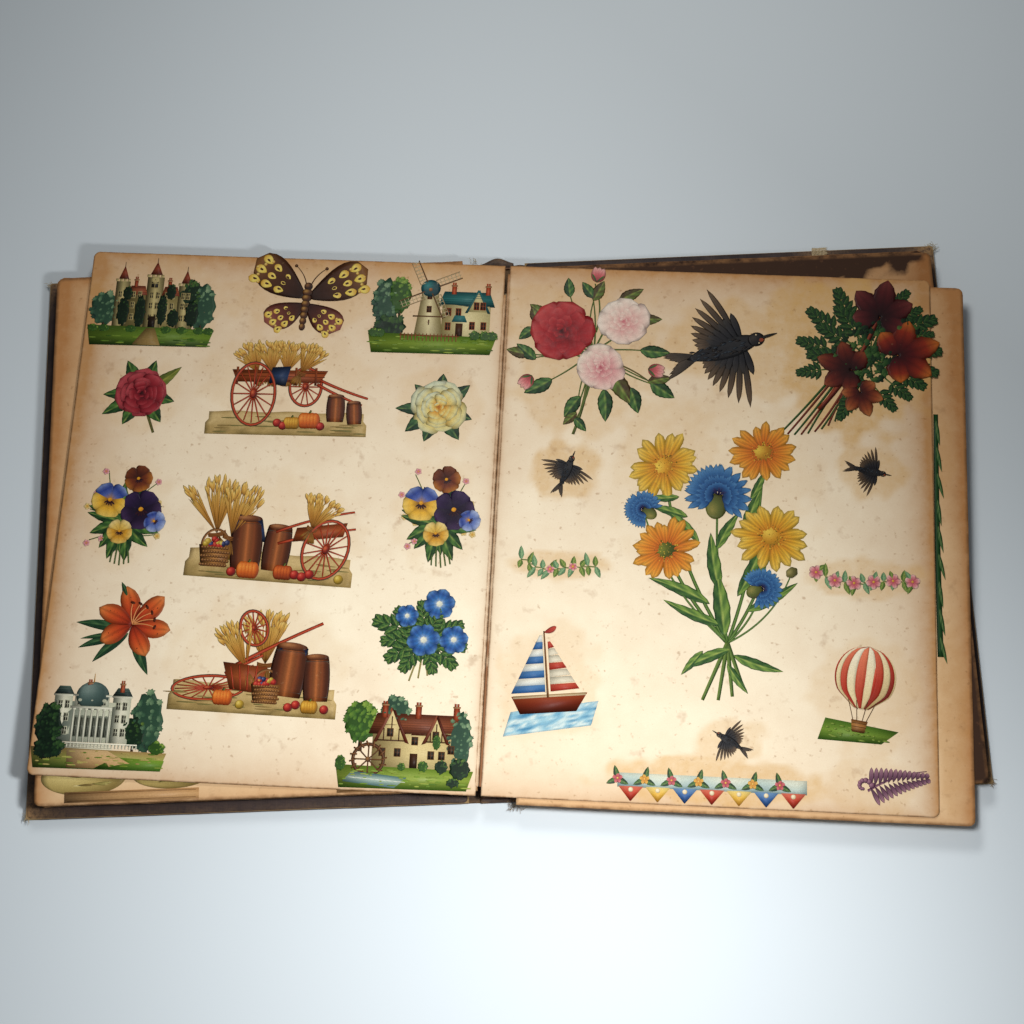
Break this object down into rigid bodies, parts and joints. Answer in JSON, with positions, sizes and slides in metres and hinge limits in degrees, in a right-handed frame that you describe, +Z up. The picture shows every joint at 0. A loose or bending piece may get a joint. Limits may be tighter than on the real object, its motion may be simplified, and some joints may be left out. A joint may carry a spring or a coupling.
{
  "type": "scrap album",
  "caption": "Cloth-covered scrap album lying open, with hinged boards, sewn leaves, loose top leaves that turn and paper scraps pasted on them.",
  "frame": {"origin": "under the middle of the spine, on the face that lies on the table", "axes": "+Z up, +X across the open book towards the back board, +Y along the spine towards the head"},
  "size_m": [0.6476, 0.4294, 0.0181],
  "materials": {
    "cover_cloth": "worn dark brown book cloth",
    "strawboard": "grey-brown strawboard",
    "page_paper": "thick toned tan paper",
    "endpaper": "browned endpaper",
    "linen": "unbleached linen",
    "thread": "waxed linen thread",
    "band": "rolled cloth band",
    "scrap_print": "glossy colour-printed die-cut paper"
  },
  "bodies": {
    "spine": {"spine_cloth": "cover_cloth", "spine_stiffener": "strawboard", "spine_lining": "linen", "sewing_tapes": "linen", "sewing_thread": "thread", "head_band": "band", "tail_band": "band", "front_guards": "linen", "back_guards": "linen"},
    "front_board": {"front_board_core": "strawboard", "front_cover_cloth": "cover_cloth", "front_pastedown": "endpaper"},
    "back_board": {"back_board_core": "strawboard", "back_cover_cloth": "cover_cloth", "back_pastedown": "endpaper"},
    "front_leaves": {"front_flyleaf": "endpaper", "front_section_1": "page_paper", "front_section_2": "page_paper", "front_section_3": "page_paper", "left_second_leaf": "page_paper", "left_second_scraps": "scrap_print"},
    "back_leaves": {"back_flyleaf": "endpaper", "back_section_1": "page_paper", "back_section_2": "page_paper", "back_section_3": "page_paper"},
    "third_leaf": {"right_third_leaf": "page_paper"},
    "left_fold": {"left_fold_strip": "linen", "left_under_leaf": "page_paper"},
    "right_fold": {"right_fold_strip": "linen"},
    "left_top_leaf": {"left_top_leaf": "page_paper", "view_scraps": "scrap_print", "butterfly_scrap": "scrap_print", "rose_scraps": "scrap_print", "pansy_scraps": "scrap_print", "lily_scrap": "scrap_print", "blue_flower_scrap": "scrap_print", "harvest_scraps": "scrap_print"},
    "right_top_leaf": {"right_top_leaf": "page_paper", "rose_bouquet_scrap": "scrap_print", "swallow_scraps": "scrap_print", "autumn_leaf_scrap": "scrap_print", "daisy_bouquet_scrap": "scrap_print", "garland_scraps": "scrap_print", "boat_scrap": "scrap_print", "balloon_scrap": "scrap_print", "bunting_scrap": "scrap_print", "fern_scrap": "scrap_print"},
    "slipped_leaf": {"slipped_leaf": "page_paper", "stem_scrap": "scrap_print"}
  },
  "joints": [
    {"name": "front_board_hinge", "type": "hinge", "parent": "spine", "child": "front_board", "pos_m": [-0.021, 0, 0.00025], "axis": [0, -1, 0], "range_deg": [-90, 0]},
    {"name": "back_board_hinge", "type": "hinge", "parent": "spine", "child": "back_board", "pos_m": [0.021, 0, 0.00025], "axis": [0, 1, 0], "range_deg": [-90, 0]},
    {"name": "front_leaves_turn", "type": "hinge", "parent": "spine", "child": "front_leaves", "pos_m": [-0.01725, 0, 0.004], "axis": [0, -1, 0], "range_deg": [-90, 0], "deforming": ["front_guards"]},
    {"name": "back_leaves_turn", "type": "hinge", "parent": "spine", "child": "back_leaves", "pos_m": [0.01725, 0, 0.004], "axis": [0, 1, 0], "range_deg": [-90, 0], "deforming": ["back_guards"]},
    {"name": "left_fold_turn", "type": "hinge", "parent": "spine", "child": "left_fold", "pos_m": [-0.0022, 0, 0.0188], "axis": [0, -1, 0], "range_deg": [-90, 0]},
    {"name": "right_fold_turn", "type": "hinge", "parent": "spine", "child": "right_fold", "pos_m": [-0.0022, 0, 0.0188], "axis": [0, 1, 0], "range_deg": [-90, 0]},
    {"name": "left_top_leaf_turn", "type": "hinge", "parent": "left_fold", "child": "left_top_leaf", "pos_m": [-0.00245, -0.0029, 0.0185], "axis": [0.0845, 0.9964, 0], "range_deg": [0, 180]},
    {"name": "right_top_leaf_turn", "type": "hinge", "parent": "right_fold", "child": "right_top_leaf", "pos_m": [-0.00245, -0.0029, 0.0185], "axis": [-0.0845, -0.9964, 0], "range_deg": [0, 180]},
    {"name": "slipped_leaf_slide", "type": "slide", "parent": "right_fold", "child": "slipped_leaf", "axis": [0.9964, -0.0845, 0], "range_m": [-0.021, 0]},
    {"name": "third_leaf_slide", "type": "slide", "parent": "back_leaves", "child": "third_leaf", "axis": [0, -1, 0], "range_m": [-0.006, 0]}
  ],
  "couplings": [
    {"joint": "back_board_hinge", "follows": "front_board_hinge", "ratio": 1},
    {"joint": "front_leaves_turn", "follows": "front_board_hinge", "ratio": 1},
    {"joint": "back_leaves_turn", "follows": "front_board_hinge", "ratio": 1},
    {"joint": "left_fold_turn", "follows": "front_board_hinge", "ratio": 1},
    {"joint": "right_fold_turn", "follows": "front_board_hinge", "ratio": 1}
  ]
}
